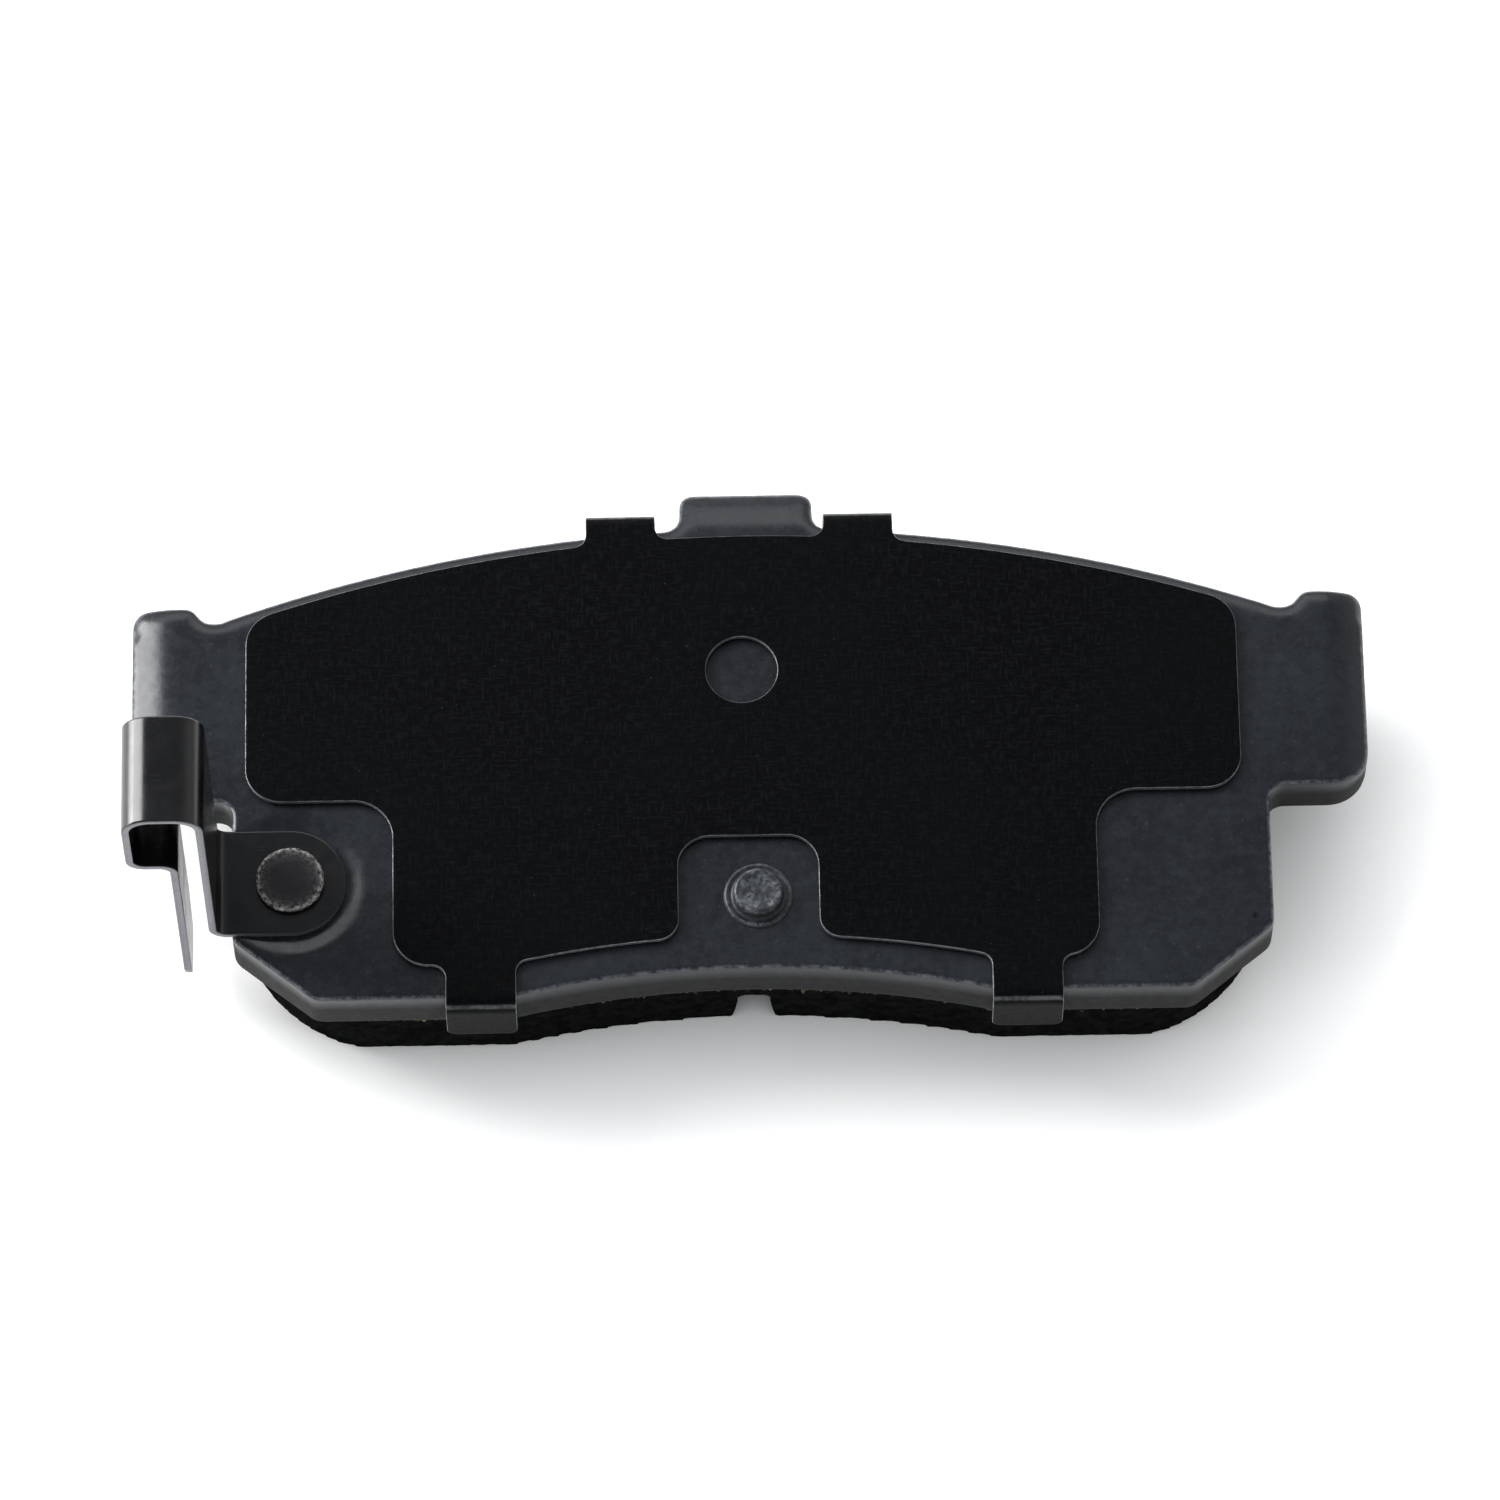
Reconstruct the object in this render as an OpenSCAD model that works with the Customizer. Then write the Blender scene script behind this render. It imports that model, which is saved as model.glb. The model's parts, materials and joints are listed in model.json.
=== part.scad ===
// Inner disc brake pad with a stamped backing plate, a bonded lining, a clip-on shim
// and a riveted spring-steel wear indicator.
// Frame: X runs along the pad from ear to ear, Y towards the outer arc, +Z out of the pad's back.
// The friction face lies on Z = 0. The origin is below the centre of the pad's footprint.

/* [Backing plate] */
// Width over the two ears
ear_span = 124; // [118:1:132]
// Thickness of the steel plate
plate_t = 6.2; // [5:0.1:7]
// Width of the plate below the ears
body_w = 103.6; // [98:0.2:110]
// Height of the plate from its lower edge to the top of the outer arc
arc_top = 50.8; // [48:0.2:54]
// Radius of the outer arc
arc_r = 153; // [140:1:170]
// Radius of the inner arc in the lower edge
inner_r = 110; // [95:1:130]
// Rise of the inner arc above the lower edge
inner_rise = 2.7; // [1.5:0.05:3.5]
// Height of an ear's lower edge above the plate's lower edge
ear_low = 21.6; // [19:0.2:24]
// Height of the nub at the end of an ear
ear_top = 42.9; // [42.2:0.1:44]
// Height of the valley between an ear's nub and the outer arc
valley_y = 41.2; // [40:0.1:41.8]
// Length of the nub along the ear
nub_l = 6.4; // [3:0.1:8]
// Width of the tongue in the middle of the outer arc
tongue_w = 13.4; // [11:0.2:16]
// Height of the tongue's top above the plate's lower edge
tongue_top = 54.9; // [53.5:0.1:57]
// Width and height of the chamfer at each lower corner
corner_cut = [8.2, 6.5];

/* [Lining] */
// Height of the whole pad from the friction face to the back of the plate
pad_t = 16; // [15:0.1:18]
// Width of the friction block
lining_w = 103; // [98:0.2:105]
// Inset of the lining from the plate's lower edge and inner arc
lining_low = 1; // [0.6:0.1:3]
// Inset of the lining from the plate's outer arc
lining_high = 2; // [1:0.1:4]
// Radius of the lining's upper corners
lining_r_high = 14; // [8:0.5:18]
// Radius of the lining's lower corners
lining_r_low = 13.5; // [8:0.5:16]
// Thickness of the bonding layer on the plate
bond_t = 0.2; // [0.1:0.05:0.4]
// Thickness of the underlayer
under_t = 1.2; // [0.8:0.1:2]
// Distance by which the underlayer stands out past the friction block
under_out = 0.3; // [0:0.05:0.6]
// Width of the slot
slot_w = 3.2; // [2:0.1:5]
// Depth of the slot
slot_d = 5.7; // [4:0.1:7]
// Radius of the slot's bottom corners
slot_r = 0.8; // [0.2:0.1:1]
// Distance from the pad's centre to the start of each end chamfer
chamfer_x = 40.6; // [36:0.2:46]
// Depth of the end chamfers at the ends of the block
chamfer_d = 3.2; // [1.5:0.1:4.5]

/* [Moulding holes] */
// Radius of the two holes that the underlayer fills
plug_r = 4; // [2.5:0.1:5]
// Distance of each hole from the pad's centre
plug_x = 26; // [20:0.5:32]
// Height of the holes above the plate's lower edge
plug_y = 27; // [22:0.5:32]

/* [Shim] */
// Thickness of the shim's steel
shim_t = 0.6; // [0.4:0.05:0.8]
// Thickness of the rubber layer under the steel
damp_t = 0.2; // [0.1:0.05:0.3]
// Width of the shim
shim_w = 99.6; // [96:0.1:101.5]
// Sideways offset of the shim from the pad's centre
shim_shift = -0.7; // [-0.8:0.05:0.8]
// Inset of the shim's upper edge from the outer arc
shim_high = 1.4; // [1:0.1:3]
// Inset of the shim's lower edge from the plate's lower edge
shim_low = 3.2; // [2:0.1:4]
// Height of the shim's lower corners, above the wear indicator's seat
shoulder_y = 21; // [19:0.1:23]
// Distance from the centre to the shim's narrow lower part's sides
shoulder_x = 35.1; // [34:0.05:38]
// Width of the cut-out round the locating stud
notch_w = 14; // [12:0.2:18]
// Height of the cut-out's top above the plate's lower edge
notch_top = 16.6; // [14:0.05:20]
// Radius of the corners at the cut-out's mouth
mouth_r = 2.2; // [1:0.1:3]
// Distance of the cut-out's middle to the left of the locating stud
notch_shift = 0.95; // [0:0.05:2]
// Radius of the round window
window_r = 3.6; // [3:0.1:5]
// Height of the round window's centre
window_y = 34.65; // [30:0.05:38]
// Width of a shim tab
shim_tab_w = 7; // [5:0.1:8]
// Distance from the centre to the middle of each lower tab
low_tab_x = 27.1; // [26:0.1:31]
// Distance from the centre to the middle of each upper tab
high_tab_x = 12; // [11:0.05:16]
// Gap between the plate's edge and a folded tab
tab_gap = 1; // [0.6:0.1:1.6]
// Inner radius of a tab's fold
tab_bend = 0.8; // [0.4:0.1:1.2]

/* [Stud and rivet] */
// Radius of the locating stud
stud_r = 2.5; // [2:0.05:2.9]
// Height of the locating stud above the plate
stud_h = 1.5; // [1:0.1:2]
// Radius of the collar at the stud's foot
collar_r = 3.5; // [3:0.1:4]
// Height of the stud's collar
collar_h = 0.35; // [0.2:0.05:0.6]
// Place of the locating stud on the plate
stud_at = [0.55, 10.35];
// Place of the rivet on the plate
rivet_at = [-46, 12.5];
// Radius of the rivet's shank
rivet_r = 2.4; // [2:0.1:3]
// Radius of the rivet's formed head
head_r = 3.5; // [3.1:0.1:4.2]
// Height of the rivet's formed head
head_h = 0.9; // [0.6:0.1:1.4]
// Radius of the coined seat round the rivet
seat_r = 7.5; // [6.8:0.1:8.5]
// Depth of the coined seat
seat_d = 0.35; // [0.2:0.05:0.5]

/* [Wear indicator] */
// Thickness of the spring steel
clip_t = 0.8; // [0.6:0.05:1]
// Width of the strip
clip_w = 11.1; // [9:0.1:11.8]
// Height of the hoop above the plate's back
hoop_h = 29.7; // [22:0.1:32]
// Drop from the hoop's top to the bottom of its return flange
hoop_drop = 12.2; // [8:0.1:14]
// Outer width of the hoop
hoop_w = 8; // [7:0.1:8.5]
// Gap between the strip's wall and the plate's side
wall_gap = 1.4; // [0.8:0.1:2]
// Distance from the wall's outer face to the finger's inner face
finger_gap = 2.2; // [1.6:0.1:2.6]
// Width of the finger where it leaves the hoop
finger_w = 6.4; // [4:0.1:9]
// Height of the finger's tip above the friction face
tip_z = 5.1; // [4:0.1:9]
// Inner radius of the lower bends
clip_bend = 1.1; // [0.8:0.1:1.3]
// Inner radius of the hoop's two upper bends
hoop_bend = 2.2; // [1:0.1:2.4]
// Play at the hinge line between the fixed and the springing length
hinge_gap = 0.2; // [0.1:0.05:0.4]

/* [Hidden] */
$fn = 96;
big_fn = 360;
eps = 0.01;
mid_y = (tongue_top - tab_gap - shim_t) / 2;
arc_c = arc_top - arc_r;
inner_c = inner_rise - inner_r;
plate_z = pad_t - plate_t;
bond_z = plate_z - bond_t;
under_z = bond_z - under_t;
shim_z = pad_t + damp_t;
back_z = shim_z + shim_t;
body_x = body_w / 2;
ear_x = ear_span / 2;
root_r = 1.6;
edge_r = 1.3;
ear_r = 4;
tab_end_z = plate_z + 0.3;
tab_r = 1;
sink_r = rivet_r + 1.8;
sink_h = 1.8;
seat_z = pad_t - seat_d;
tab_top_z = seat_z + clip_t;
clip_low = rivet_at[1] - clip_w / 2;
wall_in = -body_x - wall_gap;
wall_out = wall_in - clip_t;
hoop_z = pad_t + hoop_h;
hoop_out = wall_in - hoop_w;
flange_z = hoop_z - hoop_drop;
finger_in = wall_out - finger_gap;
finger_out = finger_in - clip_t;
hinge_x = wall_out - hoop_bend - hinge_gap / 2;

// Moves a shape drawn from the plate's lower edge to the part's own frame.
module framed(z = 0) {
    translate([0, -mid_y, z]) children();
}

// Fills hollow corners of a 2-D shape with the radius r.
module fillet_in(r) {
    offset(r = -r) offset(delta = r) children();
}

// Rounds outward corners of a 2-D shape with the radius r.
module round_out(r) {
    offset(r = r) offset(delta = -r) children();
}

module both_sides() {
    children();
    mirror([1, 0]) children();
}

// ---- backing plate ----

module plate_body() {
    difference() {
        intersection() {
            translate([0, arc_c]) circle(arc_r, $fn = big_fn);
            translate([-body_x, 0]) square([body_w, arc_top]);
        }
        translate([0, inner_c]) circle(inner_r, $fn = big_fn);
        both_sides() polygon([
            [body_x + 1, -1], [body_x + 1, corner_cut[1]], [body_x, corner_cut[1]],
            [body_x - corner_cut[0], 0], [body_x - corner_cut[0], -1]
        ]);
    }
}

module ear() {
    translate([body_x - 1, ear_low]) square([ear_x - body_x + 1, valley_y - ear_low]);
    translate([ear_x - nub_l, ear_low]) square([nub_l, ear_top - ear_low]);
}

// Rounds only the ear's lower outer corner with its larger radius.
module ear_corner_cut() {
    translate([ear_x - ear_r, ear_low]) difference() {
        translate([0, -1]) square([ear_r + 1, ear_r + 1]);
        translate([0, ear_r]) circle(ear_r);
    }
}

module plate_outline() {
    difference() {
        round_out(edge_r) fillet_in(root_r) {
            plate_body();
            both_sides() ear();
            translate([-tongue_w / 2, arc_top - 4]) square([tongue_w, tongue_top - arc_top + 4]);
        }
        both_sides() ear_corner_cut();
    }
}

module seat() {
    translate([rivet_at[0], rivet_at[1], seat_z]) {
        cylinder(r = seat_r, h = seat_d + 1);
        translate([-20, -clip_w / 2 - 0.2, 0]) cube([20, clip_w + 0.4, seat_d + 1]);
    }
}

module rivet_shank(extra) {
    translate([rivet_at[0], rivet_at[1], plate_z]) {
        cylinder(r = rivet_r, h = seat_z - plate_z + extra);
        cylinder(r1 = sink_r, r2 = rivet_r, h = sink_h);
    }
}

module backing_plate() {
    color("#23262a") framed() {
        difference() {
            translate([0, 0, plate_z]) linear_extrude(plate_t) plate_outline();
            seat();
            rivet_shank(2);
            for (side = [-1, 1])
                translate([side * plug_x, plug_y, plate_z - 1]) cylinder(r = plug_r, h = plate_t + 2);
        }
        translate([stud_at[0], stud_at[1], pad_t - eps]) {
            cylinder(r = collar_r, h = collar_h + eps);
            cylinder(r = stud_r, h = stud_h + eps);
        }
    }
}

// ---- lining ----

module lining_block() {
    difference() {
        intersection() {
            translate([0, arc_c]) circle(arc_r - lining_high, $fn = big_fn);
            translate([-lining_w / 2, lining_low]) square([lining_w, arc_top]);
        }
        translate([0, inner_c]) circle(inner_r + lining_low, $fn = big_fn);
    }
}

module lining_outline() {
    half_y = arc_top / 2;
    intersection() {
        round_out(lining_r_high) lining_block();
        translate([-lining_w, half_y]) square([2 * lining_w, arc_top]);
    }
    intersection() {
        round_out(lining_r_low) lining_block();
        translate([-lining_w, 0]) square([2 * lining_w, half_y + eps]);
    }
}

// The slot's section: straight walls and a bottom with round corners.
module slot_section() {
    translate([-slot_w / 2, -1]) square([slot_w, slot_d - slot_r + 1]);
    translate([-slot_w / 2 + slot_r, 0]) square([slot_w - 2 * slot_r, slot_d]);
    both_sides() translate([slot_w / 2 - slot_r, slot_d - slot_r]) circle(slot_r);
}

module end_chamfer() {
    slope = chamfer_d / (lining_w / 2 - chamfer_x);
    reach = 4;
    polygon([
        [chamfer_x, 0], [chamfer_x, -1], [lining_w / 2 + reach, -1],
        [lining_w / 2 + reach, chamfer_d + reach * slope]
    ]);
}

module along_y() {
    translate([0, arc_top + 10, 0]) rotate([90, 0, 0]) linear_extrude(arc_top + 20) children();
}

module friction_block() {
    color("#6d7276") framed() difference() {
        linear_extrude(under_z) lining_outline();
        along_y() slot_section();
        along_y() both_sides() end_chamfer();
    }
}

module underlayer() {
    color("#4b4238") framed() {
        translate([0, 0, under_z]) linear_extrude(under_t) offset(r = under_out) lining_outline();
        for (side = [-1, 1])
            translate([side * plug_x, plug_y, bond_z - eps])
                cylinder(r = plug_r - 0.02, h = plate_t + bond_t - 0.3);
    }
}

module bonding_layer() {
    color("#2c2117") framed(bond_z) difference() {
        linear_extrude(bond_t) offset(r = under_out) lining_outline();
        for (side = [-1, 1])
            translate([side * plug_x, plug_y, -1]) cylinder(r = plug_r, h = 3);
    }
}

// ---- shim ----

// The part of the sheet that lies flat on the plate, before its corners are rounded.
module shim_sheet() {
    difference() {
        intersection() {
            translate([0, arc_c]) circle(arc_r - shim_high, $fn = big_fn);
            translate([shim_shift - shim_w / 2, shim_low]) square([shim_w, arc_top]);
        }
        translate([0, inner_c]) circle(inner_r + shim_low, $fn = big_fn);
        translate([shim_shift, 0]) both_sides()
            translate([shoulder_x, -1]) square([shim_w, shoulder_y + 1]);
    }
}

module shim_outline() {
    notch_x = stud_at[0] - notch_shift;
    difference() {
        round_out(mouth_r) difference() {
            round_out(3.6) fillet_in(4) shim_sheet();
            translate([notch_x - notch_w / 2, -5])
                offset(r = 3.2) offset(delta = -3.2) square([notch_w, notch_top + 5]);
        }
        translate([shim_shift, window_y]) circle(window_r);
    }
}

// A flat sheet seen from the side: straight leg over the edge, fold, then down the edge.
// The fold's outer face stands at y = 0 and the sheet's top at z = 0; the sheet comes from +y.
module folded_tab(leg, down) {
    outer = tab_bend + shim_t;
    translate([-shim_tab_w / 2, 0, 0]) rotate([90, 0, 90]) linear_extrude(shim_tab_w) {
        translate([outer, -shim_t]) square([leg - outer, shim_t]);
        difference() {
            translate([outer, -outer]) circle(outer);
            translate([outer, -outer]) circle(tab_bend);
            translate([outer, -2 * outer]) square([outer + 1, 3 * outer]);
            translate([-1, -3 * outer]) square([2 * outer + 2, 2 * outer]);
        }
    }
    translate([0, shim_t, -outer]) rotate([90, 0, 0]) linear_extrude(shim_t) {
        translate([-shim_tab_w / 2, -(down - outer - tab_r)]) square([shim_tab_w, down - outer - tab_r]);
        translate([-shim_tab_w / 2 + tab_r, -(down - outer)]) square([shim_tab_w - 2 * tab_r, tab_r + eps]);
        both_sides() translate([shim_tab_w / 2 - tab_r, -(down - outer - tab_r)]) circle(tab_r);
    }
}

module shim_plate() {
    down = back_z - tab_end_z;
    high_edge = arc_c + sqrt(arc_r * arc_r - high_tab_x * high_tab_x);
    color("#141517") framed() {
        translate([0, 0, shim_z]) linear_extrude(shim_t) shim_outline();
        for (side = [-1, 1]) {
            translate([side * low_tab_x, -tab_gap - shim_t, back_z])
                folded_tab(shim_low + tab_gap + shim_t + 1.5, down);
            translate([shim_shift + side * high_tab_x, high_edge + tab_gap + shim_t + 0.2, back_z])
                rotate([0, 0, 180]) folded_tab(shim_high + tab_gap + shim_t + 1.7, down);
        }
    }
}

module shim_rubber_layer() {
    color("#0b0b0c") framed(pad_t) linear_extrude(damp_t) offset(delta = -0.15) shim_outline();
}

// ---- wear indicator ----

// A quarter bend of the strip, from angle a to a + 90, with its centre at c.
module bend(c, a, r = clip_bend) {
    translate(c) rotate(a) difference() {
        intersection() {
            circle(r + clip_t);
            square(r + clip_t + 1);
        }
        circle(r);
    }
}

// Draws a side view of the strip (x across, y up) and gives it the width w from y = low.
module strip(low, w) {
    translate([0, low + w, 0]) rotate([90, 0, 0]) linear_extrude(w) children();
}

module wear_indicator_base() {
    turn_x = wall_in + clip_bend;
    turn_z = tab_top_z + clip_bend;
    top_z = hoop_z - clip_t - hoop_bend;
    color("#0e0f10") framed() {
        difference() {
            translate([0, 0, seat_z]) linear_extrude(clip_t) {
                translate([turn_x, clip_low]) square([rivet_at[0] - turn_x, clip_w]);
                translate(rivet_at) circle(clip_w / 2);
            }
            translate([rivet_at[0], rivet_at[1], seat_z - 1]) cylinder(r = rivet_r + 0.05, h = 3);
        }
        strip(clip_low, clip_w) {
            bend([turn_x, turn_z], 180);
            translate([wall_out, turn_z]) square([clip_t, top_z - turn_z]);
            bend([wall_out - hoop_bend, top_z], 0, hoop_bend);
        }
    }
}

module finger_plan() {
    tip_w = finger_w - 1.6;
    fall = flange_z - clip_bend - tip_z;
    round_out(0.6) polygon([
        [0, 1], [0, -fall + 2], [0.5, -fall], [0.5 + tip_w, -fall], [finger_w, -fall + 9], [finger_w, 1]
    ]);
}

module wear_indicator_spring() {
    start_x = hinge_x - hinge_gap / 2;
    high_x = hoop_out + clip_t + hoop_bend;
    high_c = hoop_z - clip_t - hoop_bend;
    low_x = hoop_out + clip_t + clip_bend;
    low_c = flange_z + clip_t + clip_bend;
    turn_x = finger_out - clip_bend;
    turn_z = flange_z - clip_bend;
    color("#0e0f10") framed() {
        strip(clip_low, clip_w) {
            translate([high_x, hoop_z - clip_t]) square([start_x - high_x, clip_t]);
            bend([high_x, high_c], 90, hoop_bend);
            translate([hoop_out, low_c]) square([clip_t, high_c - low_c]);
            bend([low_x, low_c], 180);
            translate([low_x, flange_z]) square([max(turn_x - low_x, eps), clip_t]);
        }
        strip(clip_low, finger_w) bend([turn_x, turn_z], 0);
        translate([finger_out, clip_low, turn_z]) rotate([90, 0, 90])
            linear_extrude(clip_t) intersection() {
                finger_plan();
                translate([-1, -100]) square([finger_w + 2, 100]);
            }
    }
}

module wear_indicator_rivet() {
    color("#1a1b1d") framed() {
        rivet_shank(clip_t + eps);
        translate([rivet_at[0], rivet_at[1], tab_top_z]) cylinder(r = head_r, h = head_h);
    }
}

backing_plate();
bonding_layer();
underlayer();
friction_block();
shim_rubber_layer();
shim_plate();
wear_indicator_base();
wear_indicator_spring();
wear_indicator_rivet();
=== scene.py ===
import json
import math
import random

import bmesh
import bpy
import numpy as np
from mathutils import Matrix, Vector, noise
from mathutils.geometry import delaunay_2d_cdt


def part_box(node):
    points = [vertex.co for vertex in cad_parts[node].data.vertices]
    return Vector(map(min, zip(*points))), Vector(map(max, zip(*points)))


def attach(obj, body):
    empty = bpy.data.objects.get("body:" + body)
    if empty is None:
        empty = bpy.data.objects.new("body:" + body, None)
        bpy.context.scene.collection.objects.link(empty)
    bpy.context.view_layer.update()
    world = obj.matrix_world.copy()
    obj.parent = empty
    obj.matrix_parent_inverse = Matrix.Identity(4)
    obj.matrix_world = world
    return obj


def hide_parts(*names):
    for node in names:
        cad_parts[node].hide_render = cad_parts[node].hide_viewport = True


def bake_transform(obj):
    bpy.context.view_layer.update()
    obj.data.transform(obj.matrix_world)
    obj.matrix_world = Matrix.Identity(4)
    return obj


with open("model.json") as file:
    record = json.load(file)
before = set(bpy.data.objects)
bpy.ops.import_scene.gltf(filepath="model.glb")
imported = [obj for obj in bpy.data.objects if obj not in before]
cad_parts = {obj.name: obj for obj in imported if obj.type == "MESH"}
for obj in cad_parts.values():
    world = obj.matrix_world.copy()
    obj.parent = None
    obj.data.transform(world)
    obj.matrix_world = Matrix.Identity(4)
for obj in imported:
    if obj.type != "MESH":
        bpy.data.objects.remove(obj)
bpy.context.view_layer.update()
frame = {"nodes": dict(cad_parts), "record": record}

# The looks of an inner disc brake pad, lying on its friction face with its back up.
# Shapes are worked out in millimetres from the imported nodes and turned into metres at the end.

MM = 1000.0
PAD = "pad"
# The wear attribute holds edge wear, and on the shim a painted highlight along each fold.
WEAR_AND_HIGHLIGHT = "wear"
# The tone attribute holds painted shade on the plate's and the lining's walls, and the granules' own colours.
TONE = "tone"

# ---- what the frame says, in millimetres ----


def corners(node):
    """A node's lowest and highest corner."""
    low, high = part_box(node)
    return np.array(low) * MM, np.array(high) * MM


plate_low, plate_high = corners("backing_plate")
shim_low, shim_high = corners("shim_plate")
rubber_low, rubber_high = corners("shim_rubber_layer")
lining_low, lining_high = corners("friction_block")
under_low, under_high = corners("underlayer")
bond_low = corners("bonding_layer")[0]
base_low, base_high = corners("wear_indicator_base")
spring_low, spring_high = corners("wear_indicator_spring")
rivet_low, rivet_high = corners("wear_indicator_rivet")

back_z = rubber_low[2]
front_z = plate_low[2]
shim_t = shim_high[2] - rubber_high[2]
strip_w = base_high[1] - base_low[1]
rivet_at = (rivet_low[:2] + rivet_high[:2]) / 2
mounts = {mount["name"]: mount for mount in frame["record"]["mounts"]}
stud_at = np.round(np.array(mounts["locating_stud"]["pos_m"][:2]) * MM, 3)


# ---- outlines ----

# Points closer than this are one, and a face this close to a height is at it.
WELD = 0.002
FLAT = 0.01
# The turn between an arc's points, the rows of a triangular lattice, and points tested at a time.
ARC_STEP = 0.12
ROW = 0.866
BATCH = 2000


def counterclockwise(loop):
    ahead = np.roll(loop, -1, axis=0)
    area = (loop[:, 0] * ahead[:, 1] - ahead[:, 0] * loop[:, 1]).sum()
    return loop if area > 0 else loop[::-1]


def run_length(loop):
    return np.linalg.norm(np.roll(loop, -1, axis=0) - loop, axis=1).sum()


def face_outlines(node, height):
    """The closed outlines of a node's flat face at one height, the longest first."""
    shape = bmesh.new()
    shape.from_mesh(frame["nodes"][node].data)
    bmesh.ops.scale(shape, vec=(MM, MM, MM), verts=shape.verts)
    bmesh.ops.remove_doubles(shape, verts=shape.verts, dist=WELD)
    level = {
        f for f in shape.faces
        if abs(f.normal.z) > 0.99 and all(abs(v.co.z - height) < FLAT for v in f.verts)
    }
    links = {}
    for edge in shape.edges:
        if sum(f in level for f in edge.link_faces) == 1:
            one, other = edge.verts
            links.setdefault(one, []).append(other)
            links.setdefault(other, []).append(one)
    loops = []
    while links:
        loop = []
        here = next(iter(links))
        while here in links:
            loop.append(here.co.xy[:])
            ahead = [v for v in links.pop(here) if v in links]
            here = ahead[0] if ahead else None
        loops.append(counterclockwise(np.array(loop)))
    shape.free()
    return sorted(loops, key=run_length, reverse=True)


def resample(loop, step):
    """The loop again with points about one step apart."""
    closed = np.vstack([loop, loop[:1]])
    run = np.concatenate([[0], np.cumsum(np.linalg.norm(np.diff(closed, axis=0), axis=1))])
    at = np.linspace(0, run[-1], max(12, round(run[-1] / step)), endpoint=False)
    return np.stack([np.interp(at, run, closed[:, i]) for i in (0, 1)], axis=1)


def relax(loop, rounds, amount=0.5):
    """Moves each point towards the middle of the two beside it."""
    for _ in range(rounds):
        beside = (np.roll(loop, 1, axis=0) + np.roll(loop, -1, axis=0)) / 2
        loop = loop * (1 - amount) + beside * amount
    return loop


def normals(loop):
    """Unit vectors to the left of the way round, which is inwards on a counterclockwise loop."""
    along = np.roll(loop, -1, axis=0) - np.roll(loop, 1, axis=0)
    along /= np.maximum(np.linalg.norm(along, axis=1, keepdims=True), 1e-9)
    return np.stack([-along[:, 1], along[:, 0]], axis=1)


def shrink(loop, amount, step=0.08, soften=0.12):
    """Offsets a loop inwards, or outwards when negative, in small steps that keep tight corners open."""
    count = math.ceil(abs(amount) / step)
    for _ in range(count):
        loop = relax(loop + normals(loop) * (amount / count), 1, soften)
    return loop


def rounded(corner_list):
    """A closed outline through (x, y, radius) corners, with an arc in each."""
    points = []
    count = len(corner_list)
    for i, (x, y, radius) in enumerate(corner_list):
        here = np.array([x, y])
        before = np.array(corner_list[i - 1][:2]) - here
        after = np.array(corner_list[(i + 1) % count][:2]) - here
        before = before / np.linalg.norm(before)
        after = after / np.linalg.norm(after)
        half = math.acos(np.clip(before @ after, -1, 1)) / 2
        if radius <= 0:
            points.append(here)
            continue
        middle = (before + after) / np.linalg.norm(before + after)
        centre = here + middle * (radius / math.sin(half))
        first = here + before * (radius / math.tan(half)) - centre
        last = here + after * (radius / math.tan(half)) - centre
        turn = math.atan2(first[0] * last[1] - first[1] * last[0], first @ last)
        arc_points = max(3, math.ceil(abs(turn) / ARC_STEP))
        for k in range(arc_points + 1):
            angle = turn * k / arc_points
            spin = np.array([[math.cos(angle), -math.sin(angle)], [math.sin(angle), math.cos(angle)]])
            points.append(centre + spin @ first)
    return counterclockwise(np.array(points))


def circle(centre, radius, count=96):
    angle = np.linspace(0, 2 * math.pi, count, endpoint=False)
    return np.array(centre) + radius * np.stack([np.cos(angle), np.sin(angle)], axis=1)


def within(points, loop):
    """Which points lie inside a loop."""
    ahead = np.roll(loop, -1, axis=0)
    rise = ahead[:, 1] - loop[:, 1]
    rise = np.where(np.abs(rise) < 1e-12, 1e-12, rise)
    found = []
    for part in np.array_split(points, max(1, len(points) // BATCH)):
        x = part[:, :1]
        y = part[:, 1:]
        crossed = (loop[:, 1] > y) != (ahead[:, 1] > y)
        meets = loop[:, 0] + (y - loop[:, 1]) * (ahead[:, 0] - loop[:, 0]) / rise
        found.append((crossed & (x < meets)).sum(axis=1) % 2 == 1)
    return np.concatenate(found)


def distance_to(points, loop):
    """Distance from each point to the nearest stretch of a loop."""
    ahead = np.roll(loop, -1, axis=0)
    along = ahead - loop
    size = np.maximum((along ** 2).sum(axis=1), 1e-12)
    found = []
    for part in np.array_split(points, max(1, len(points) // BATCH)):
        off = part[:, None, :] - loop[None, :, :]
        share = np.clip((off * along).sum(axis=2) / size, 0, 1)
        gap = off - share[:, :, None] * along
        found.append(np.sqrt((gap ** 2).sum(axis=2).min(axis=1)))
    return np.concatenate(found)


def grid_points(low, high, spacing):
    """A triangular lattice of points over a rectangle."""
    rows = np.arange(low[1], high[1], spacing * ROW)
    points = []
    for i, y in enumerate(rows):
        x = np.arange(low[0] + (i % 2) * spacing / 2, high[0], spacing)
        points.append(np.stack([x, np.full(len(x), y)], axis=1))
    return np.concatenate(points)


def smoothstep(x):
    x = np.clip(x, 0, 1)
    return x * x * (3 - 2 * x)


# ---- solids ----

# Free points stay this far from a cap's rings.
CAP_MARGIN = 0.12


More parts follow.
